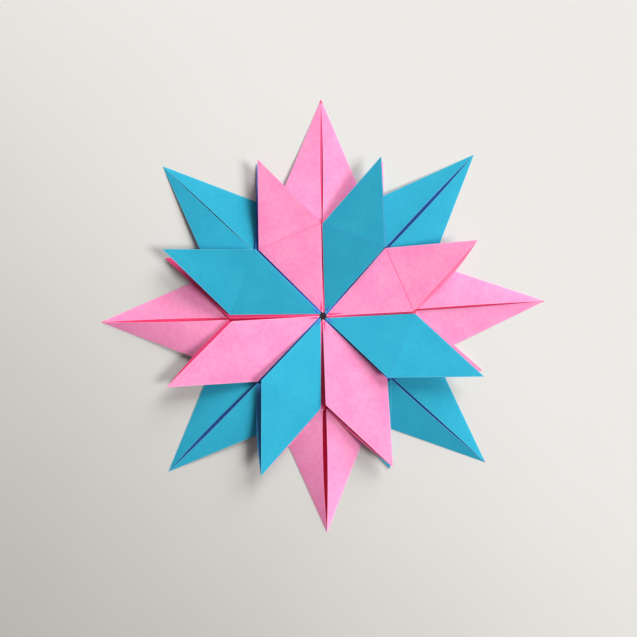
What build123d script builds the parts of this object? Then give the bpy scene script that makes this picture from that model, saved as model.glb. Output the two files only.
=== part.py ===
from build123d import *

import os
from dataclasses import dataclass
from math import asin, cos, radians, sin, sqrt, tan

# An eight-pointed modular star of folded paper, four pink units and four blue ones by turns.
# Each unit is one square sheet. Two sides are folded to the diagonal, which leaves a kite with a
# slit along its axis. The far corner is tucked in, and the two side corners are turned back over
# the kite to make a pair of rhombic wings. The units go round the centre like the flaps of a box:
# the left half of each one lies on the right wing of the next one, counted anticlockwise.
#
# A unit has its own frame. Its inner corner is the origin, X runs along the slit to the outer tip,
# Y points to the left half and Z out of the top. The star's frame has +X to the east, +Y to the
# north and +Z up, with the tips resting on Z = 0.

# The paper, in millimetres
SHEET_SIDE = 75.0
PAPER = 0.08

# How a unit stands and laps over the next one, in millimetres
CENTRE_HEIGHT = 2.8     # height of the inner corners above the outer tips
CORNER_LIFT = 1.7       # rise of the left shoulder of the base above the unit's axis
LAP_CLEARANCE = 0.04    # between a tucked wing and the base that lies on it


@dataclass
class Unit:
    """One folded sheet of the star. All its angles are in degrees."""

    name: str
    direction: float    # of the outer tip, from the centre
    opening: float      # of the upper wing, which springs up from the base
    ridge: float        # by which that wing's tip bends down at the first crease of the kite


# The star is folded by hand, so its units are not quite alike or evenly spread.
UNITS = [
    Unit("pink_unit_east", 3.9, 7.0, 2.5),
    Unit("blue_unit_north_east", 46.9, 13.0, 4.0),
    Unit("pink_unit_north", 90.5, 11.0, 3.5),
    Unit("blue_unit_north_west", 136.9, 11.0, 3.5),
    Unit("pink_unit_west", 181.6, 11.5, 3.5),
    Unit("blue_unit_south_west", 225.2, 12.5, 3.5),
    Unit("pink_unit_south", 271.1, 10.0, 2.5),
    Unit("blue_unit_south_east", 318.0, 11.5, 3.0),
]
FLAP_SHARE = 0.57       # of a wing's opening, by which the kite's flap under it opens
LEFT, RIGHT = 1, -1

# The crease pattern of the square gives these angles, in degrees, and lengths.
SLIT_ANGLE = 45.0                          # between the slit and a closed edge of a wing
KITE_ANGLE = SLIT_ANGLE / 2                # between the slit and a closed edge of the kite
WING_SIDE = SHEET_SIDE * tan(radians(KITE_ANGLE))
WING_WIDTH = WING_SIDE * sin(radians(SLIT_ANGLE))

# The lift and the height tilt a unit about its axis and across it. Where the closed edges of two
# units cross, near the centre, the tilt has to part them by one sheet and the clearance.
ROLL = asin(CORNER_LIFT / WING_WIDTH)
PITCH = asin(CENTRE_HEIGHT / SHEET_SIDE)
LAP_STEP = PAPER + LAP_CLEARANCE
CENTRE_RADIUS = LAP_STEP / (sqrt(2) * tan(ROLL))

INNER = Vector(0, 0, 0)
TIP = Vector(SHEET_SIDE, 0, 0)
FLAP_INNER = Vector(WING_SIDE, 0, 0)       # inner corner of the kite's flaps, when they lie flat
UP = Vector(0, 0, 1)
BISECTION_STEPS = 40


def unit_frame(direction):
    """Plane of a unit's base: its origin at the inner corner, its X axis along the slit."""
    outward = Vector(cos(radians(direction)), sin(radians(direction)), 0)
    leftward = UP.cross(outward)
    axis = outward * cos(PITCH) - UP * sin(PITCH)
    lifted = outward * sin(PITCH) + UP * cos(PITCH)
    normal = lifted * cos(ROLL) - leftward * sin(ROLL)
    centre = outward * CENTRE_RADIUS + UP * CENTRE_HEIGHT
    return Plane(origin=centre, x_dir=axis, z_dir=normal)


def half_corners(side, opening, ridge):
    """Corners of one half of a unit, in its own frame, for the two angles of its wing.

    The base stays flat. The wing turns about its closed edge from the inner corner to the
    shoulder, and bends at the crease from the shoulder to the wing's inner corner. The kite's flap
    turns about its own closed edge, from the shoulder to the outer tip.
    """
    edge = Vector(cos(radians(SLIT_ANGLE)), side * sin(radians(SLIT_ANGLE)), 0)
    inward = Vector(sin(radians(SLIT_ANGLE)), -side * cos(radians(SLIT_ANGLE)), 0)
    raised = inward * cos(radians(opening)) + UP * sin(radians(opening))
    shoulder = edge * WING_SIDE
    wing_inner = (edge + raised) * WING_WIDTH
    reach = wing_inner.rotate(Axis(INNER, shoulder - wing_inner), side * ridge)
    hem = FLAP_INNER - shoulder
    hem = hem.rotate(Axis(INNER, shoulder - TIP), side * FLAP_SHARE * opening)
    return {
        "edge": edge,
        "raised": raised,
        "shoulder": shoulder,
        "wing_inner": wing_inner,
        "wing_tip": shoulder + reach,
        "flap_inner": shoulder + hem,
    }


def tucked_opening(frame, upper_frame, widest):
    """Opening in degrees that brings a right wing up against the base of the unit on top of it."""
    low, high = 0.0, widest
    for _ in range(BISECTION_STEPS):
        middle = (low + high) / 2
        half = half_corners(RIGHT, middle, 0)
        rim = [frame.from_local_coords(half[corner]) for corner in ("wing_inner", "wing_tip")]
        heights = [upper_frame.to_local_coords(point).Z for point in rim]
        if max(heights) < -LAP_STEP:
            low = middle
        else:
            high = middle
    return low


def upward_normal(corners):
    """Unit normal of a flat panel, on the side that shows from above."""
    normal = (corners[1] - corners[0]).cross(corners[2] - corners[0]).normalized()
    return normal if normal.Z > 0 else -normal


def panel(corners, neighbours):
    """Plate of one paper thickness about a flat panel of the sheet.

    Each edge has a neighbour: the panel beyond its crease, or None at a free edge. The plate ends
    square at a free edge, and at a crease both plates end in the same face.
    """
    normal = upward_normal(corners)
    edge_faces = []
    for start, end, neighbour in zip(corners, corners[1:] + corners[:1], neighbours):
        lean = normal + upward_normal(neighbour) if neighbour else normal
        edge_faces.append((end - start).cross(lean))
    lower, upper = [], []
    for corner, before, after in zip(corners, edge_faces[-1:] + edge_faces[:-1], edge_faces):
        post = before.cross(after)
        offset = post * (PAPER / 2 / post.dot(normal))
        lower.append(corner - offset)
        upper.append(corner + offset)
    walls = [lower, upper]
    for index in range(len(corners)):
        walls.append([lower[index - 1], lower[index], upper[index], upper[index - 1]])
    faces = [Face(Wire.make_polygon(wall, close=True)) for wall in walls]
    return Solid(Shell(faces))


def backed_panel(corners, side):
    """Plate of the tucked corner, pressed against the top (1) or underside (-1) of a panel."""
    outline = Face(Wire.make_polygon(corners, close=True))
    return extrude(outline, amount=PAPER + PAPER / 2, dir=upward_normal(corners) * side)


def tucked_corner(halves):
    """The far corner of the sheet: a square on the base and a triangle under each wing.

    It stops short of the closed edges, where only two layers fit between base and wing.
    """
    left, right = halves
    narrow = min(half["raised"].Z for half in halves)
    near, far = 2 * PAPER / narrow, WING_WIDTH
    outline = [(near, near), (far, near), (far, far), (near, far)]
    square = [left["edge"] * along + right["edge"] * across for along, across in outline]
    plates = [backed_panel(square, 1)]
    for half in halves:
        triangle = [half["edge"] * along + half["raised"] * across for along, across in outline[:3]]
        plates.append(backed_panel(triangle, -1))
    return plates


def folded_unit(halves):
    """One folded sheet, in its own frame, from the corners of its two halves."""
    base = [TIP, halves[0]["shoulder"], INNER, halves[1]["shoulder"]]
    plates = []
    flaps, wing_roots = [], []
    for half in halves:
        shoulder, wing_inner, wing_tip = half["shoulder"], half["wing_inner"], half["wing_tip"]
        flap = [TIP, half["flap_inner"], shoulder]
        lining = [half["flap_inner"], wing_tip, shoulder]
        wing_root = [INNER, wing_inner, shoulder]
        wing_end = [wing_inner, wing_tip, shoulder]
        plates.append(panel(flap, [None, lining, base]))
        plates.append(panel(lining, [None, wing_end, flap]))
        plates.append(panel(wing_root, [None, wing_end, base]))
        plates.append(panel(wing_end, [None, lining, wing_root]))
        flaps.append(flap)
        wing_roots.append(wing_root)
    plates.append(panel(base, [flaps[0], wing_roots[0], wing_roots[1], flaps[1]]))
    plates += tucked_corner(halves)
    return plates[0].fuse(*plates[1:]).clean()


def folded_star():
    """All eight units, each in its place on the surface that the tips rest on."""
    star = {}
    for unit, upper in zip(UNITS, UNITS[-1:] + UNITS[:-1]):
        frame, upper_frame = unit_frame(unit.direction), unit_frame(upper.direction)
        tucked = tucked_opening(frame, upper_frame, unit.opening)
        halves = [half_corners(LEFT, unit.opening, unit.ridge), half_corners(RIGHT, tucked, 0)]
        print(f"{unit.name}: tucked wing open by {tucked:.2f} degrees")
        star[unit.name] = frame.location * folded_unit(halves)
    floor = min(sheet.bounding_box().min.Z for sheet in star.values())
    return {name: Pos(0, 0, -floor) * sheet for name, sheet in star.items()}


os.makedirs("parts", exist_ok=True)
for name, sheet in folded_star().items():
    export_step(sheet, f"parts/{name}.step")
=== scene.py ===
"""Looks of a flat modular star: eight squares of paper, each folded into one pointed unit.

Every unit is folded here from its own flat sheet, along the creases that the real one has, and takes the
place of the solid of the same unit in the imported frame. Lengths are in metres. The angles in the tables at
the end are in degrees, and all others are in radians.
"""

import logging
from dataclasses import dataclass, field
from enum import Enum
from math import asin, cos, pi, radians, sin, sqrt, tan
from typing import Iterable, Optional, Union

import bmesh
import bpy
from mathutils import Matrix, Vector
from mathutils.interpolate import poly_3d_calc


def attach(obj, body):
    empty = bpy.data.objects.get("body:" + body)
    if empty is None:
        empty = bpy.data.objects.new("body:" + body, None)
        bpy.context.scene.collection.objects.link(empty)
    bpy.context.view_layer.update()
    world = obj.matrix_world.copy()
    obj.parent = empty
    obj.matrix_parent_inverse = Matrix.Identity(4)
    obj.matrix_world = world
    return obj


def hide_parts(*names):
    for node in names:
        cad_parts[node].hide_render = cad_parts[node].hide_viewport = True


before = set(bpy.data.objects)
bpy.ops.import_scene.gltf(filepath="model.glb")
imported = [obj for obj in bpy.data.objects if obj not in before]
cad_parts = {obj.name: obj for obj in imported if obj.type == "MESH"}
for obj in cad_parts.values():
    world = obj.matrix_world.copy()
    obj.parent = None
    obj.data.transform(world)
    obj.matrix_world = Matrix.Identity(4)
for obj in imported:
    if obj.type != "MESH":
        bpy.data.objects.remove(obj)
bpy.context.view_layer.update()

log = logging.getLogger("origami_star")

Colour = tuple[float, float, float]

MM = 0.001
UP = Vector((0.0, 0.0, 1.0))

# The sheet and how a unit stands, as the solids have them
SHEET_SIDE = 75.0 * MM
PAPER = 0.08 * MM
CENTRE_HEIGHT = 2.8 * MM
CORNER_LIFT = 1.7 * MM
LAP_CLEARANCE = 0.04 * MM

# What the crease pattern gives
SLIT_ANGLE = radians(45.0)
KITE_ANGLE = SLIT_ANGLE / 2
WING_SIDE = SHEET_SIDE * tan(KITE_ANGLE)
WING_WIDTH = WING_SIDE * sin(SLIT_ANGLE)
HALF_DIAGONAL = SHEET_SIDE * sin(SLIT_ANGLE)

# How the lift and the height tilt a unit, and keep it off the centre
ROLL = asin(CORNER_LIFT / WING_WIDTH)
PITCH = asin(CENTRE_HEIGHT / SHEET_SIDE)
CENTRE_RADIUS = (PAPER + LAP_CLEARANCE) / (sqrt(2) * tan(ROLL))


class Side(Enum):
    """A half of a unit, seen from its inner corner towards its outer tip."""

    LEFT = 1
    RIGHT = -1


class Corner(Enum):
    """A point where creases meet each other or the rim of the sheet."""

    INNER = "inner corner"
    TIP = "outer tip"
    SHOULDER = "shoulder"
    WING_INNER = "inner corner of the wing"
    WING_TIP = "tip of the wing"
    FLAP_INNER = "inner corner of the kite's flap"
    POCKET_EDGE = "edge of the tucked corner"
    FAR = "far corner of the sheet"


class Panel(Enum):
    """A flat part of half a sheet, by its corners. Its first edge can bow, its second can rise or hang."""

    BASE = (Corner.INNER, Corner.TIP, Corner.SHOULDER)
    FLAP = (Corner.TIP, Corner.FLAP_INNER, Corner.SHOULDER)
    LINING = (Corner.FLAP_INNER, Corner.WING_TIP, Corner.SHOULDER)
    WING_ROOT = (Corner.INNER, Corner.WING_INNER, Corner.SHOULDER)
    WING_END = (Corner.WING_INNER, Corner.WING_TIP, Corner.SHOULDER)
    POCKET_ROOF = (Corner.INNER, Corner.WING_INNER, Corner.POCKET_EDGE)
    POCKET_FLOOR = (Corner.INNER, Corner.FAR, Corner.POCKET_EDGE)


# The two panels that meet in the closed edge of the kite
KITE_PANELS = (Panel.BASE, Panel.FLAP)

# The panel of each half that shows its rim below the wing above it, where shade is painted on that rim
SHADED_PANELS = {Side.LEFT: Panel.LINING, Side.RIGHT: Panel.WING_END}

# What a sheet's points carry: their place on the flat sheet, and how strong the painted shade is on its rims
# and along its first crease
FLAT_PLACE = "flat_place"
RIM_SHADE = "rim_tint"
CREASE_SHADE = "crease_tint"

# Creases of each half, in an order in which every one of them crosses a single face
SPINE = (Corner.FAR, Corner.TIP)
HALF_CREASES = (
    (Corner.INNER, Corner.WING_INNER),
    (Corner.TIP, Corner.WING_INNER),
    (Corner.INNER, Corner.SHOULDER),
    (Corner.SHOULDER, Corner.WING_TIP),
    (Corner.SHOULDER, Corner.FLAP_INNER),
    (Corner.INNER, Corner.POCKET_EDGE),
)

# How close a crease may pass to a corner that is already there
CREASE_SNAP = MM / 1000

# Turns the product of two shares along an edge, which is a quarter at the middle, into 1 there
ARCH = 4

# Sockets of a Mix node when it mixes colours
MIX_FACTOR, MIX_UNDER, MIX_OVER = 0, 6, 7
MIX_RESULT = 2

# The middle value of a noise
NOISE_MIDDLE = 0.5

# Either part of a step of 1 to the north east
NORTH_EAST = sqrt(0.5)

# The rays that see the backdrop
BACKDROP_RAYS = ("Camera", "Glossy", "Transmission")


class Shade:
    """A number that changes over a surface. Arithmetic on it adds Math nodes to its graph."""

    def __init__(self, graph: "NodeGraph", socket: bpy.types.NodeSocket) -> None:
        """Wraps an output socket.

        Args:
            graph: the nodes that the socket is among.
            socket: the output.
        """
        self.graph = graph
        self.socket = socket

    def _math(self, operation: str, first: "Number", second: "Number" = 0.0) -> "Shade":
        """Adds one Math node.

        Args:
            operation: the node's operation.
            first: its first operand.
            second: its second operand, if it uses one.

        Returns:
            The node's value.
        """
        return self.graph.value("ShaderNodeMath", {"operation": operation}, {0: first, 1: second})

    def __add__(self, other: "Number") -> "Shade":
        """self + other."""
        return self._math("ADD", self, other)

    def __radd__(self, other: "Number") -> "Shade":
        """other + self."""
        return self._math("ADD", other, self)

    def __sub__(self, other: "Number") -> "Shade":
        """self - other."""
        return self._math("SUBTRACT", self, other)

    def __rsub__(self, other: "Number") -> "Shade":
        """other - self."""
        return self._math("SUBTRACT", other, self)

    def __mul__(self, other: "Number") -> "Shade":
        """self * other."""
        return self._math("MULTIPLY", self, other)

    def __rmul__(self, other: "Number") -> "Shade":
        """other * self."""
        return self._math("MULTIPLY", other, self)

    def __abs__(self) -> "Shade":
        """Size without sign."""
        return self._math("ABSOLUTE", self)

    def __gt__(self, other: "Number") -> "Shade":
        """1 where self is greater, else 0."""
        return self._math("GREATER_THAN", self, other)

    def __lt__(self, other: "Number") -> "Shade":
        """1 where self is less, else 0."""
        return self._math("LESS_THAN", self, other)

    def most(self, other: "Number") -> "Shade":
        """The greater of the two."""
        return self._math("MAXIMUM", self, other)

    def fade(self, near: float, far: float) -> "Shade":
        """Falls smoothly from 1 at near to 0 at far.

        Args:
            near: the value at which it is still 1.
            far: the value from which it is 0.

        Returns:
            The faded mask.
        """
        settings = {"interpolation_type": "SMOOTHSTEP"}
        inputs = {"Value": self, "From Min": near, "From Max": far, "To Min": 1.0, "To Max": 0.0}
        return self.graph.value("ShaderNodeMapRange", settings, inputs)


Number = Union[Shade, float, int]


class NodeGraph:
    """The nodes of a material or of the world."""

    def __init__(self, owner: Union[bpy.types.Material, bpy.types.World]) -> None:
        """Empties the owner's node tree.

        Args:
            owner: what the nodes belong to.
        """
        owner.use_nodes = True
        self.tree = owner.node_tree
        self.tree.nodes.clear()

    def node(self, kind: str, settings: Optional[dict] = None,
             inputs: Optional[dict] = None) -> bpy.types.Node:
        """Adds a node of any type.

        Args:
            kind: the node's type.
            settings: its properties, which are set first.
            inputs: values, shades or sockets for its input sockets, by name or number.

        Returns:
            The new node.
        """
        node = self.tree.nodes.new(kind)
        for key, value in (settings or {}).items():
            setattr(node, key, value)
        for key, value in (inputs or {}).items():
            source = value.socket if isinstance(value, Shade) else value
            if isinstance(source, bpy.types.NodeSocket):
                self.tree.links.new(source, node.inputs[key])
            else:
                node.inputs[key].default_value = source
        return node

    def value(self, kind: str, settings: dict, inputs: dict, output: Union[str, int] = 0) -> Shade:
        """Adds a node and wraps one of its outputs.

        Args:
            kind: the node's type.
            settings: its properties.
            inputs: what feeds its sockets.
            output: the output that is wanted.

        Returns:
            That output as a shade.
        """
        return Shade(self, self.node(kind, settings, inputs).outputs[output])

    def mix(self, mask: Number, under: Union[Colour, bpy.types.NodeSocket],
            over: Union[Colour, bpy.types.NodeSocket]) -> bpy.types.NodeSocket:
        """Mixes two colours.

        Args:
            mask: 0 for the first colour, 1 for the second.
            under: the first colour.
            over: the second colour.

        Returns:
            The socket of the mixed colour.
        """
        colours = [(*c, 1.0) if isinstance(c, tuple) else c for c in (under, over)]
        settings = {"data_type": "RGBA", "clamp_factor": True}
        inputs = {MIX_FACTOR: mask, MIX_UNDER: colours[0], MIX_OVER: colours[1]}
        return self.node("ShaderNodeMix", settings, inputs).outputs[MIX_RESULT]

    def noise(self, place: bpy.types.NodeSocket, size: float, detail: float, rough: float = 0.5) -> Shade:
        """Adds a soft noise.

        Args:
            place: the coordinates that it follows.
            size: of its largest patches.
            detail: the number of finer layers on top.
            rough: how strong each finer layer is.

        Returns:
            The noise, about 0 to 1.
        """
        inputs = {"Vector": place, "Scale": 1 / size, "Detail": detail, "Roughness": rough}
        return self.value("ShaderNodeTexNoise", {}, inputs)


class FinishGraph(NodeGraph):
    """The nodes of one material."""

    def __init__(self, name: str) -> None:
        """Starts a material with no nodes.

        Args:
            name: of the material.
        """
        self.material = bpy.data.materials.new(name)
        super().__init__(self.material)

    def surface(self, inputs: dict) -> bpy.types.Material:
        """Closes the material.

        Args:
            inputs: what feeds the shader's sockets.

        Returns:
            The finished material.
        """
        shader = self.node("ShaderNodeBsdfPrincipled", {}, inputs)
        self.node("ShaderNodeOutputMaterial", {}, {"Surface": shader.outputs[0]})
        return self.material


@dataclass(frozen=True)
class PaperFinish:
    """Matt uncoated paper, dyed right through, with worn folds and rims, and shade painted into its slits,
    shaded rims and first crease.

    Attributes:
        slot: name of the material.
        face: the paper's paler colour.
        deep: its deeper colour, in patches and between fibres.
        worn: its colour where a fold or rim has lost dye.
        painted_shade: a deep colour painted where shade falls, in the slits, on shaded rims and along the
            first crease, as if lit only by paper of the same colour.
        cloud_size: size of the patches.
        cloud_detail: number of finer layers in them.
        cloud_contrast: how strongly they shift the colour.
        fibre_size: size of the fibres.
        fibre_detail: number of finer layers in them.
        fibre_rough: how strong each finer layer is.
        fibre_contrast: how strongly they shift the colour.
        fold_width: reach of the wear to either side of a fold.
        fold_wear: how worn the folds are.
        rim_width: reach of the wear from the rim.
        rim_wear: how worn the rim is.
        least_wear: share of the wear that is even.
        patchy_wear: share of the wear that follows the fibres.
        painted_shade_reach: where the painted shade starts to fade, and where it ends.
        painted_shade_share: how far the painted shade covers the paper's own colour.
        fibre_relief: part of the fibres in the relief.
        cloud_relief: part of the patches in it.
        fold_relief: depth of the first crease in it.
        bump_strength: strength of the relief.
        bump_depth: depth of the relief.
        least_roughness: roughness between the fibres.
        fibre_roughness: what the fibres add to it.
        specular: level of the shine.
    """

    slot: str
    face: Colour
    deep: Colour
    worn: Colour
    painted_shade: Colour
    cloud_size: float = 9.0 * MM
    cloud_detail: float = 2.0
    cloud_contrast: float = 2.2
    fibre_size: float = 1.6 * MM
    fibre_detail: float = 5.0
    fibre_rough: float = 0.65
    fibre_contrast: float = 2.4
    fold_width: float = 0.30 * MM
    fold_wear: float = 0.6
    rim_width: float = 0.22 * MM
    rim_wear: float = 0.7
    least_wear: float = 0.4
    patchy_wear: float = 1.1
    painted_shade_reach: tuple[float, float] = (1.0 * MM, 2.4 * MM)
    painted_shade_share: float = 0.85
    fibre_relief: float = 0.6
    cloud_relief: float = 0.4
    fold_relief: float = 0.8
    bump_strength: float = 0.35
    bump_depth: float = 0.05 * MM
    least_roughness: float = 0.80
    fibre_roughness: float = 0.16
    specular: float = 0.25

    def material(self) -> bpy.types.Material:
        """Builds the paper's nodes on the flat sheet's own coordinates.

        Returns:
            The finished material.
        """
        graph = FinishGraph(self.slot)
        flat = graph.node("ShaderNodeAttribute", {"attribute_name": FLAT_PLACE}).outputs["Vector"]
        parts = graph.node("ShaderNodeSeparateXYZ", {}, {0: flat})
        along, leftward = (Shade(graph, parts.outputs[axis]) for axis in (0, 1))
        across = abs(leftward)

        cloud = graph.noise(flat, self.cloud_size, self.cloud_detail)
        fibre = graph.noise(flat, self.fibre_size, self.fibre_detail, self.fibre_rough)
        folds = self._fold_lines(along, across)
        first_fold = self._first_fold(along, across)
        rim = self._rim(along, across)

        clouded = (cloud - NOISE_MIDDLE) * self.cloud_contrast
        fibrous = (fibre - NOISE_MIDDLE) * self.fibre_contrast
        colour = graph.mix(NOISE_MIDDLE + clouded + fibrous, self.deep, self.face)
        # A dark line along the kite's first crease, partly the crease's own mark and partly painted shade
        shade_weight = graph.value("ShaderNodeAttribute", {"attribute_name": CREASE_SHADE}, {}, "Fac")
        colour = graph.mix(first_fold * shade_weight, colour, self.painted_shade)
        wear = (folds * self.fold_wear).most(rim * self.rim_wear)
        wear = wear * (self.least_wear + fibre * self.patchy_wear)
        colour = graph.mix(wear, colour, self.worn)
        # Shade painted into the slits, under the neighbour's wing and on rims in the wing's shade
        slit_shade = self._painted_slit_shade(graph, along, leftward)
        colour = graph.mix(slit_shade * self.painted_shade_share, colour, self.painted_shade)
        relief = fibre * self.fibre_relief + cloud * self.cloud_relief - first_fold * self.fold_relief
        bump = graph.node("ShaderNodeBump", {}, {
            "Strength": self.bump_strength,
            "Distance": self.bump_depth,
            "Height": relief,
        })
        return graph.surface({
            "Base Color": colour,
            "Roughness": self.least_roughness + fibre * self.fibre_roughness,
            "Specular IOR Level": self.specular,
            "Normal": bump.outputs[0],
        })

    def _painted_slit_shade(self, graph: FinishGraph, along: Shade, leftward: Shade) -> Shade:
        """Marks where shade is painted: on what lies under the slits, which is lit only by paper of the same
        colour.

        Args:
            graph: the material's nodes.
            along: distance from the inner corner along the spine of the flat sheet.
            leftward: distance to the left of the spine.

        Returns:
            A mask of painted shade that is 1 on the base under the kite's slit and on the tucked wing under
            its neighbour, and takes each rim's painted shade strength on the rims that stand in the shade.
        """
        normal = graph.node("ShaderNodeNewGeometry").outputs["Normal"]
        upper = graph.value("ShaderNodeSeparateXYZ", {}, {0: normal}, 2) > 0.0
        near, far = self.painted_shade_reach
        across = abs(leftward)
        under_kite = across.fade(near, far) * (along > WING_WIDTH) * (self._kite_offset(along, across) < 0.0)
        under_wing = along.fade(near, far) * (leftward < 0.0).most(along < 0.0) * (across < WING_SIDE)
        shade_weight = graph.value("ShaderNodeAttribute", {"attribute_name": RIM_SHADE}, {}, "Fac")
        left_lining = (leftward > 0.0) * (along > WING_WIDTH)
        right_wing = (leftward < 0.0) * (along < WING_WIDTH)
        rims = self._rim_distance(along, across).fade(near, far) * left_lining.most(right_wing) * shade_weight
        return under_kite.most(under_wing).most(rims) * upper

    def _fold_lines(self, along: Shade, across: Shade) -> Shade:
        """Marks the folded edges.

        Args:
            along: distance from the inner corner along the spine of the flat sheet.
            across: distance from the spine.

        Returns:
            A mask that is 1 on the folds.
        """
        wing_fold = (abs(along - across) * sin(SLIT_ANGLE)).fade(0.0, self.fold_width)
        wing_fold = wing_fold * (along > 0.0) * (along < WING_WIDTH)
        back_fold = abs(along - WING_WIDTH).fade(0.0, self.fold_width) * (across > WING_WIDTH)
        pocket_fold = abs(along).fade(0.0, self.fold_width)
        kite_fold = abs(self._kite_offset(along, across)).fade(0.0, self.fold_width) * (along > WING_WIDTH)
        return wing_fold.most(back_fold).most(pocket_fold).most(kite_fold)

    def _first_fold(self, along: Shade, across: Shade) -> Shade:
        """Marks the kite's first crease where it was pressed flat again, across the wing.

        Args:
            along: distance from the inner corner along the spine of the flat sheet.
            across: distance from the spine.

        Returns:
            A mask that is 1 on the crease.
        """
        return abs(self._kite_offset(along, across)).fade(0.0, self.fold_width) * (along < WING_WIDTH)

    @staticmethod
    def _kite_offset(along: Shade, across: Shade) -> Shade:
        """Measures from the crease that runs from the outer tip over the shoulder to the wing.

        Args:
            along: distance from the inner corner along the spine of the flat sheet.
            across: distance from the spine.

        Returns:
            The distance beyond the crease, less than 0 on the side of the spine.
        """
        return along * sin(KITE_ANGLE) + across * cos(KITE_ANGLE) - SHEET_SIDE * sin(KITE_ANGLE)

    def _rim(self, along: Shade, across: Shade) -> Shade:
        """Marks the cut rim of the sheet.

        Args:
            along: distance from the inner corner along the spine of the flat sheet.
            across: distance from the spine.

        Returns:
            A mask that is 1 at the rim.
        """
        return self._rim_distance(along, across).fade(0.0, self.rim_width)

    @staticmethod
    def _rim_distance(along: Shade, across: Shade) -> Shade:
        """Measures from the rim of the flat sheet.

        Args:
            along: distance from the inner corner along the spine of the flat sheet.
            across: distance from the spine.

        Returns:
            The distance in from the rim.
        """
        return (HALF_DIAGONAL - abs(along - WING_WIDTH) - across) * sin(SLIT_ANGLE)


class Paper(Enum):
    """The two colours of paper."""

    PINK = PaperFinish(
        "pink_paper",
        face=(0.97, 0.345, 0.595),
        deep=(0.95, 0.26, 0.525),
        worn=(0.98, 0.55, 0.77),
        # Crimson painted where the pink paper stands in shade
        painted_shade=(0.97, 0.035, 0.19),
    )
    BLUE = PaperFinish(
        "blue_paper",
        face=(0.027, 0.405, 0.58),
        deep=(0.020, 0.365, 0.545),
        worn=(0.16, 0.62, 0.77),
        # Navy painted where the blue paper stands in shade
        painted_shade=(0.06, 0.13, 0.62),
    )


@dataclass
class Spring:
    """How one half of a unit stands open, as the hand left it. Angles in degrees, lengths in millimetres.

    Attributes:
        opening: angle between the wing and the base.
        ridge: angle by which the wing's tip bends down at the kite's first crease.
        flap: angle between the kite's flap and the base.
        flap_rise: rise of the middle of the flap's free edge.
        flap_gap: distance by which that middle bows away from the slit.
        slit: distance by which the flap's inner corner stands off the slit.
        edge_rise: rise of the middle of the wing's folded outer edge.
        edge_droop: fall of the middle of the kite's closed edge.
        tip_shift: shift of the wing's tip, along the unit's axis and to its left. The others are alike.
        inner_shift: shift of the wing's inner corner.
        shoulder_shift: shift of the shoulder.
        lining_gap: distance by which the middle of the lining's free edge stands out from the wing.
        rim_tint: how strong the shade is that is painted on the rim that stands in the wing's shade.
    """

    opening: float
    ridge: float = 0.0
    flap: float = 0.0
    flap_rise: float = 0.0
    flap_gap: float = 0.0
    slit: float = 0.0
    edge_rise: float = 0.0
    edge_droop: float = 0.0
    tip_shift: tuple[float, float] = (0.0, 0.0)
    inner_shift: tuple[float, float] = (0.0, 0.0)
    shoulder_shift: tuple[float, float] = (0.0, 0.0)
    lining_gap: float = 0.0
    rim_tint: float = 0.0


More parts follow.
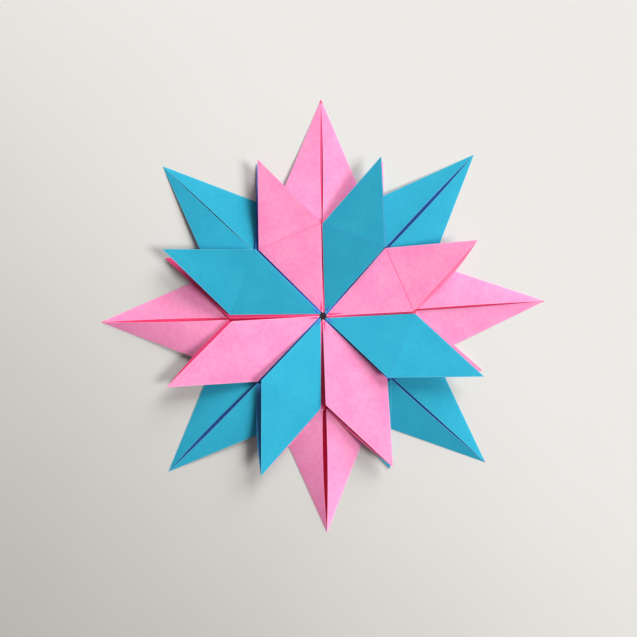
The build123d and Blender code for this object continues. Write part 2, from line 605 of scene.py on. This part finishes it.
@dataclass
class FoldedUnit:
    """One square of paper, folded into a kite with two wings.

    Attributes:
        where: the direction of its outer tip, in words.
        paper: what it is folded from.
        direction: bearing of its outer tip from the centre, in degrees anticlockwise from the east.
        left: how its left half stands open.
        right: how its right half does.
        point_shift: shift of the outer tip along the axis, in millimetres.
        crease_tint: how strong the dark line along the kite's first crease is, partly the crease's own mark
            and partly painted shade.
        cuts: number of points that are added on every crease and rim.
        pocket_rise: height of the tucked corner above the base.
        pocket_share: share of the wing's height by which the roof of the pocket hangs below it.
        springs: the two halves, by their side.
    """

    where: str
    paper: Paper
    direction: float
    left: Spring
    right: Spring
    point_shift: float = 0.0
    crease_tint: float = 0.0
    cuts: int = 23
    pocket_rise: float = 0.5 * MM
    pocket_share: float = 0.15
    springs: dict[Side, Spring] = field(init=False)

    def __post_init__(self) -> None:
        """Pairs each half with the way it stands."""
        self.springs = {Side.LEFT: self.left, Side.RIGHT: self.right}

    @property
    def name(self) -> str:
        """Name of the piece."""
        return f"{self.where}_folded_sheet"

    @property
    def node(self) -> str:
        """Name of the solid that the piece stands for."""
        return f"{self.paper.name.lower()}_unit_{self.where}"

    @staticmethod
    def flat_corners(side: Side) -> dict[Corner, Vector]:
        """Corners of one half of the flat sheet.

        Args:
            side: the half.

        Returns:
            The place of each corner, with the spine along X.
        """
        hand = side.value
        reach = SHEET_SIDE * cos(SLIT_ANGLE)
        return {
            Corner.INNER: Vector((0.0, 0.0, 0.0)),
            Corner.TIP: Vector((SHEET_SIDE, 0.0, 0.0)),
            Corner.SHOULDER: Vector((WING_WIDTH, hand * WING_WIDTH, 0.0)),
            Corner.WING_INNER: Vector((0.0, hand * WING_SIDE, 0.0)),
            Corner.WING_TIP: Vector((WING_WIDTH, hand * reach, 0.0)),
            Corner.FLAP_INNER: Vector((2 * WING_WIDTH, hand * WING_SIDE, 0.0)),
            Corner.POCKET_EDGE: Vector((-WING_SIDE / 2, hand * WING_SIDE / 2, 0.0)),
            Corner.FAR: Vector((-WING_SIDE, 0.0, 0.0)),
        }

    def folded_corners(self, side: Side) -> dict[Corner, Vector]:
        """Corners of one half once it is folded.

        Args:
            side: the half.

        Returns:
            The place of each corner in the unit's own frame.
        """
        hand, spring = side.value, self.springs[side]
        opening = radians(spring.opening)
        flat = self.flat_corners(side)
        shoulder, tip = flat[Corner.SHOULDER], flat[Corner.TIP]
        edge = shoulder.normalized()
        inward = Vector((edge.x, -edge.y, 0.0))
        raised = inward * cos(opening) + UP * sin(opening)
        wing_inner = (edge + raised) * WING_WIDTH
        bend = Matrix.Rotation(hand * radians(spring.ridge), 3, shoulder - wing_inner)
        wing_tip = shoulder + bend @ wing_inner
        lift = Matrix.Rotation(hand * radians(spring.flap), 3, shoulder - tip)
        flap_inner = shoulder + lift @ (Vector((WING_SIDE, 0.0, 0.0)) - shoulder)
        shoulder_shift = Vector((*spring.shoulder_shift, 0.0)) * MM
        return {
            Corner.INNER: flat[Corner.INNER],
            Corner.TIP: tip + Vector((self.point_shift, 0.0, 0.0)) * MM,
            Corner.SHOULDER: shoulder + shoulder_shift,
            Corner.WING_INNER: wing_inner + Vector((*spring.inner_shift, 0.0)) * MM,
            Corner.WING_TIP: wing_tip + Vector((*spring.tip_shift, 0.0)) * MM,
            Corner.FLAP_INNER: flap_inner + Vector((0.0, hand * spring.slit, 0.0)) * MM,
            Corner.POCKET_EDGE: edge * WING_WIDTH + shoulder_shift * sin(SLIT_ANGLE),
            Corner.FAR: Vector((WING_SIDE, 0.0, self.pocket_rise)),
        }

    def bow(self, side: Side, panel: Panel) -> Vector:
        """How far the middle of a panel's first edge bows out of line.

        Args:
            side: the half.
            panel: the panel.

        Returns:
            The offset in the unit's own frame.
        """
        spring = self.springs[side]
        outward = Vector((sin(SLIT_ANGLE), -side.value * cos(SLIT_ANGLE), 0.0))
        rises = {
            Panel.LINING: outward * spring.lining_gap,
            Panel.FLAP: Vector((0.0, side.value * spring.flap_gap, spring.flap_rise)),
        }
        return rises.get(panel, Vector()) * MM

    def sag(self, side: Side, panel: Panel) -> Vector:
        """How far the middle of a panel's second edge rises or hangs out of line.

        Args:
            side: the half.
            panel: the panel.

        Returns:
            The offset in the unit's own frame.
        """
        spring = self.springs[side]
        rises = {
            Panel.LINING: spring.edge_rise * MM,
            Panel.WING_END: spring.edge_rise * MM,
            Panel.POCKET_ROOF: -self.pocket_share * WING_WIDTH * sin(radians(spring.opening)),
        }
        return UP * rises.get(panel, 0.0)

    def droop(self, side: Side, panel: Panel) -> Vector:
        """How far the middle of the kite's closed edge hangs out of line.

        Args:
            side: the half.
            panel: the panel, which may have no part in that edge.

        Returns:
            The offset in the unit's own frame.
        """
        hang = self.springs[side].edge_droop if panel in KITE_PANELS else 0.0
        return UP * (-hang * MM)

    def place(self) -> Matrix:
        """Place of the unit in the star.

        Returns:
            The matrix from the unit's own frame to the star's.
        """
        heading = radians(self.direction)
        outward = Vector((cos(heading), sin(heading), 0.0))
        leftward = UP.cross(outward)
        axis = outward * cos(PITCH) - UP * sin(PITCH)
        lifted = outward * sin(PITCH) + UP * cos(PITCH)
        normal = lifted * cos(ROLL) - leftward * sin(ROLL)
        turn = Matrix((axis, normal.cross(axis), normal)).transposed().to_4x4()
        return Matrix.Translation(outward * CENTRE_RADIUS + UP * (CENTRE_HEIGHT + PAPER / 2)) @ turn

    def crease(self, bm: bmesh.types.BMesh, start: Vector, end: Vector) -> None:
        """Cuts the face that a crease crosses.

        Args:
            bm: the flat sheet.
            start: one end of the crease.
            end: its other end.
        """
        middle = (start + end) / 2
        face = next(f for f in bm.faces if bmesh.geometry.intersect_face_point(f, middle))
        bmesh.ops.bisect_plane(bm, geom=[face, *face.edges, *face.verts], dist=CREASE_SNAP,
                               plane_co=start, plane_no=(end - start).cross(UP))

    def creased_sheet(self) -> bmesh.types.BMesh:
        """Lays out the flat square and creases it.

        Returns:
            The sheet, one face to each panel.
        """
        bm = bmesh.new()
        bmesh.ops.create_grid(bm, x_segments=1, y_segments=1, size=SHEET_SIDE / 2)
        turn = Matrix.Rotation(SLIT_ANGLE, 4, "Z")
        bmesh.ops.transform(bm, matrix=Matrix.Translation((WING_WIDTH, 0.0, 0.0)) @ turn, verts=bm.verts)
        corners = {side: self.flat_corners(side) for side in Side}
        self.crease(bm, *(corners[Side.LEFT][corner] for corner in SPINE))
        for side in Side:
            for crease in HALF_CREASES:
                self.crease(bm, *(corners[side][corner] for corner in crease))
        for edge in bm.edges:
            edge.smooth = False
        return bm

    def panel_faces(self, bm: bmesh.types.BMesh) -> list[tuple[Side, Panel]]:
        """Says which panel every face of the creased sheet is, and numbers the faces.

        Args:
            bm: the creased sheet.

        Returns:
            The half and the panel for each number.
        """
        layer = bm.faces.layers.int.new("panel")
        panels = []
        for side in Side:
            corners = self.flat_corners(side)
            for panel in Panel:
                middle = sum((corners[corner] for corner in panel.value), Vector()) / len(panel.value)
                face = min(bm.faces, key=lambda f: (f.calc_center_median() - middle).length)
                face[layer] = len(panels)
                panels.append((side, panel))
        return panels

    def fold(self, bm: bmesh.types.BMesh, panels: list[tuple[Side, Panel]]) -> None:
        """Folds the sheet, and bows the edges that spring open.

        Args:
            bm: the creased sheet, already divided.
            panels: the half and the panel for each number of the faces.
        """
        layer = bm.faces.layers.int["panel"]
        flat_layer = bm.verts.layers.float_vector.new(FLAT_PLACE)
        rim_layer = bm.verts.layers.float.new(RIM_SHADE)
        crease_layer = bm.verts.layers.float.new(CREASE_SHADE)
        for vert in bm.verts:
            vert[flat_layer] = vert.co
            vert[crease_layer] = self.crease_tint
        place = self.place()
        for number, (side, panel) in enumerate(panels):
            flat, folded = self.flat_corners(side), self.folded_corners(side)
            bow, sag, droop = self.bow(side, panel), self.sag(side, panel), self.droop(side, panel)
            tip = panel.value.index(Corner.TIP) if panel in KITE_PANELS else 0
            verts = {v for f in bm.faces if f[layer] == number for v in f.verts}
            for vert in verts:
                shares = poly_3d_calc([flat[corner] for corner in panel.value], vert[flat_layer])
                spot = sum((folded[c] * share for c, share in zip(panel.value, shares)), Vector())
                spot += bow * (ARCH * shares[0] * shares[1]) + sag * (ARCH * shares[1] * shares[2])
                spot += droop * (ARCH * shares[tip] * shares[2])
                vert.co = place @ spot
                # Strength of the shade painted on the rim that lies in the shade of the wing above
                if panel is SHADED_PANELS[side]:
                    vert[rim_layer] = self.springs[side].rim_tint

    def build(self, material: bpy.types.Material) -> bpy.types.Object:
        """Makes the finished piece.

        Args:
            material: its paper.

        Returns:
            The piece, riding on the star.
        """
        bm = self.creased_sheet()
        panels = self.panel_faces(bm)
        bmesh.ops.subdivide_edges(bm, edges=bm.edges[:], cuts=self.cuts, use_grid_fill=True)
        self.fold(bm, panels)
        for face in bm.faces:
            face.smooth = True
        mesh = bpy.data.meshes.new(self.name)
        bm.to_mesh(mesh)
        bm.free()
        mesh.materials.append(material)
        piece = bpy.data.objects.new(self.name, mesh)
        bpy.context.collection.objects.link(piece)
        wall = piece.modifiers.new("Paper", "SOLIDIFY")
        wall.thickness = PAPER
        wall.offset = 0.0
        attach(piece, "root")
        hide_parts(self.node)
        return piece


@dataclass
class Star:
    """The eight units, as the hand that folded them left them."""

    units: list[FoldedUnit]

    def build(self) -> None:
        """Folds every unit from its own paper."""
        papers = {paper: paper.value.material() for paper in Paper}
        for unit in self.units:
            piece = unit.build(papers[unit.paper])
            log.info("%s stands for %s, %d faces", piece.name, unit.node, len(piece.data.polygons))


@dataclass(frozen=True)
class SoftLamp:
    """A wide, far lamp that lights the table evenly. Its angles are in degrees.

    Attributes:
        name: name of the lamp.
        azimuth: bearing of the lamp, anticlockwise from the east.
        elevation: angle of the lamp above the table.
        spread: angle across it, as the star sees it.
        level: share of full white that it gives a surface facing it.
    """

    name: str
    azimuth: float
    elevation: float
    spread: float
    level: float

    def build(self) -> None:
        """Hangs the lamp."""
        azimuth, elevation = radians(self.azimuth), radians(self.elevation)
        towards = Vector((cos(azimuth) * cos(elevation), sin(azimuth) * cos(elevation), sin(elevation)))
        light = bpy.data.lights.new(self.name, "SUN")
        light.angle = radians(self.spread)
        light.energy = self.level * pi
        lamp = bpy.data.objects.new(self.name, light)
        lamp.location = towards
        lamp.rotation_euler = towards.to_track_quat("Z", "Y").to_euler()
        bpy.context.collection.objects.link(lamp)


@dataclass(frozen=True)
class Studio:
    """A pale table with shade painted on towards one corner, soft lamps and an even fill.

    Attributes:
        lamps: what lights the star.
        fill: light from all round.
        backdrop: colour of what is behind the table.
        table_half: half the table's side.
        table_painted_falloff: where the painted shade ends and starts, measured towards the pale corner.
        table_colour: colour of the pale part.
        table_painted_shade: the painted shade colour of the part that has fallen off.
        cloud_size: size of the faint patches on the table.
        cloud_detail: number of finer layers in them.
        cloud_share: how far they shift the fall-off.
        table_roughness: roughness of its top.
        table_specular: level of its shine.
        bounces: how often light may bounce between the folds.
    """

    lamps: tuple[SoftLamp, ...]
    fill: Colour = (0.20, 0.162, 0.164)
    backdrop: Colour = (0.78, 0.78, 0.75)
    table_half: float = 1.5
    table_painted_falloff: tuple[float, float] = (-0.2, 0.06)
    table_colour: Colour = (0.731, 0.738, 0.708)
    table_painted_shade: Colour = (0.397, 0.392, 0.361)
    cloud_size: float = 60.0 * MM
    cloud_detail: float = 4.0
    cloud_share: float = 0.1
    table_roughness: float = 0.9
    table_specular: float = 0.2
    bounces: int = 16

    def build(self) -> None:
        """Sets the scene around the star."""
        scene = bpy.context.scene
        scene.view_settings.view_transform = "Standard"
        scene.cycles.max_bounces = scene.cycles.diffuse_bounces = self.bounces
        scene.world = bpy.data.worlds.new("fill")
        graph = NodeGraph(scene.world)
        rays = graph.node("ShaderNodeLightPath").outputs
        camera, glossy, through = (Shade(graph, rays[f"Is {kind} Ray"]) for kind in BACKDROP_RAYS)
        seen = camera.most(glossy).most(through)
        glow = graph.node("ShaderNodeBackground", {}, {"Color": graph.mix(seen, self.fill, self.backdrop)})
        graph.node("ShaderNodeOutputWorld", {}, {"Surface": glow.outputs[0]})
        for lamp in self.lamps:
            lamp.build()
        self._table()

    def _table(self) -> None:
        """Lays the table under the star, with shade painted on it towards the south west."""
        bm = bmesh.new()
        bmesh.ops.create_grid(bm, x_segments=1, y_segments=1, size=self.table_half)
        mesh = bpy.data.meshes.new("table")
        bm.to_mesh(mesh)
        bm.free()
        table = bpy.data.objects.new("table", mesh)
        bpy.context.collection.objects.link(table)
        graph = FinishGraph("table_top")
        place = graph.node("ShaderNodeTexCoord").outputs["Object"]
        cloud = graph.noise(place, self.cloud_size, self.cloud_detail)
        parts = graph.node("ShaderNodeSeparateXYZ", {}, {0: place})
        east, north = (Shade(graph, parts.outputs[axis]) for axis in (0, 1))
        # Painted shade that darkens the table towards the south west, standing for light that falls off
        # there
        away = ((east + north) * NORTH_EAST).fade(*self.table_painted_falloff)
        pale = 1 - away + (cloud - NOISE_MIDDLE) * self.cloud_share
        mesh.materials.append(graph.surface({
            "Base Color": graph.mix(pale, self.table_painted_shade, self.table_colour),
            "Roughness": self.table_roughness,
            "Specular IOR Level": self.table_specular,
        }))


@dataclass(frozen=True)
class OverheadCamera:
    """The photograph's view, from straight above.

    Attributes:
        height: distance above the table.
        frame_width: width of the table that the frame takes in.
        offset: where it stands, from the centre of the star.
        near_clip: the nearest distance at which it sees anything.
    """

    height: float = 262.0 * MM
    frame_width: float = 222.7 * MM
    offset: tuple[float, float] = (-1.52 * MM, -0.84 * MM)
    near_clip: float = 10.0 * MM

    def build(self) -> None:
        """Adds the camera and makes it the scene's own."""
        data = bpy.data.cameras.new("overhead")
        data.lens = data.sensor_width * self.height / self.frame_width
        data.clip_start = self.near_clip
        camera = bpy.data.objects.new("overhead", data)
        camera.location = (*self.offset, self.height)
        bpy.context.collection.objects.link(camera)
        bpy.context.scene.camera = camera


STAR = Star([
    FoldedUnit(
        "east", Paper.PINK, 3.9, point_shift=1.85, crease_tint=0.6,
        left=Spring(
            opening=6.5, ridge=-3.0, flap=3.7, flap_rise=0.5, flap_gap=0.22, slit=0.3,
            edge_droop=0.9, lining_gap=1.5, rim_tint=0.35,
            tip_shift=(0.3, 0.4), inner_shift=(-0.9, -0.35),
        ),
        right=Spring(
            opening=3.6, flap=1.5, flap_rise=0.2, flap_gap=0.22, slit=0.3,
            tip_shift=(0.4, -0.75), inner_shift=(0.0, -0.4),
        ),
    ),
    FoldedUnit(
        "north_east", Paper.BLUE, 46.9, point_shift=1.3, crease_tint=0.3,
        left=Spring(
            opening=13.0, ridge=2.5, flap=7.4, flap_rise=1.0, flap_gap=0.35, slit=0.42,
            edge_droop=0.5, rim_tint=0.3,
            tip_shift=(-0.7, 0.9), inner_shift=(-0.4, 0.6),
        ),
        right=Spring(
            opening=3.2, flap=2.8, flap_rise=0.6, flap_gap=0.35, slit=0.42,
            tip_shift=(0.0, 1.2),
        ),
    ),
    FoldedUnit(
        "north", Paper.PINK, 90.5, point_shift=-0.25, crease_tint=0.4,
        left=Spring(
            opening=9.5, ridge=1.5, flap=0.8, flap_rise=0.1, flap_gap=0.42, slit=0.1,
            edge_droop=0.9, rim_tint=1.0,
            tip_shift=(-0.2, 0.1), inner_shift=(-0.2, 0.5),
        ),
        right=Spring(
            opening=3.3, flap=1.6, flap_rise=0.1, flap_gap=0.42, slit=0.1,
            tip_shift=(-0.25, 0.6),
        ),
    ),
    FoldedUnit(
        "north_west", Paper.BLUE, 136.9, point_shift=0.65, crease_tint=0.05,
        left=Spring(
            opening=13.5, ridge=3.5, flap=3.0, flap_rise=0.4, flap_gap=0.18,
            edge_rise=1.4, edge_droop=0.2, rim_tint=1.0,
            tip_shift=(1.6, -1.0), inner_shift=(0.3, -0.9), shoulder_shift=(0.6, -0.35),
        ),
        right=Spring(
            opening=3.6, flap=2.4, flap_rise=0.4, flap_gap=0.18, rim_tint=1.0,
            tip_shift=(-1.0, -1.0),
        ),
    ),
    FoldedUnit(
        "west", Paper.PINK, 181.6, point_shift=1.65, crease_tint=0.1,
        left=Spring(
            opening=11.5, ridge=3.5, flap=6.5, flap_rise=1.0, flap_gap=0.45, slit=0.4,
            edge_droop=0.9, lining_gap=0.5, rim_tint=1.0,
            tip_shift=(0.1, 1.15), inner_shift=(-0.8, 1.0),
        ),
        right=Spring(
            opening=3.4, flap=0.5, flap_rise=0.1, flap_gap=0.35, slit=0.3, rim_tint=1.0,
            tip_shift=(0.45, 0.3),
        ),
    ),
    FoldedUnit(
        "south_west", Paper.BLUE, 225.2, point_shift=0.65, crease_tint=0.05,
        left=Spring(
            opening=14.0, ridge=4.5, flap=7.1, flap_rise=1.0, flap_gap=0.45, slit=0.25,
            edge_droop=0.4, lining_gap=0.9, rim_tint=0.6,
            tip_shift=(-0.4, 1.85), inner_shift=(-1.5, 0.6),
        ),
        right=Spring(
            opening=3.3, flap=2.8, flap_rise=0.6, flap_gap=0.45, slit=0.25,
            tip_shift=(0.0, 0.6),
        ),
    ),
    FoldedUnit(
        "south", Paper.PINK, 271.1, point_shift=-0.35, crease_tint=0.05,
        left=Spring(
            opening=9.5, ridge=2.5, flap=5.4, flap_rise=1.2, flap_gap=0.48, slit=0.55,
            edge_droop=0.9, lining_gap=0.5, rim_tint=0.7,
            tip_shift=(-1.85, 1.25), inner_shift=(-1.6, 0.5), shoulder_shift=(-1.2, -0.15),
        ),
        right=Spring(
            opening=3.6, flap=5.5, flap_rise=0.8, flap_gap=0.48, slit=0.55,
            tip_shift=(0.6, 0.1),
        ),
    ),
    FoldedUnit(
        "south_east", Paper.BLUE, 318.0, point_shift=0.4, crease_tint=0.2,
        left=Spring(
            opening=13.2, ridge=2.5, flap=2.8, flap_rise=0.2, flap_gap=0.2, slit=0.2,
            edge_droop=0.9, rim_tint=1.0,
            tip_shift=(0.6, -0.4), inner_shift=(-1.4, -0.8),
        ),
        right=Spring(
            opening=3.7, flap=7.5, flap_rise=0.2, flap_gap=0.2, slit=0.2,
            tip_shift=(-0.9, -1.85),
        ),
    ),
])

STUDIO = Studio((
    SoftLamp("side_lamp", azimuth=-12.0, elevation=41.0, spread=20.0, level=0.72),
    SoftLamp("corner_lamp", azimuth=54.0, elevation=25.0, spread=34.0, level=1.15),
))


def main() -> None:
    """Folds the star, then sets up the table, the light and the camera."""
    logging.basicConfig(level=logging.INFO, format="%(name)s: %(message)s")
    STAR.build()
    STUDIO.build()
    OverheadCamera().build()


if __name__ == "__main__":
    main()
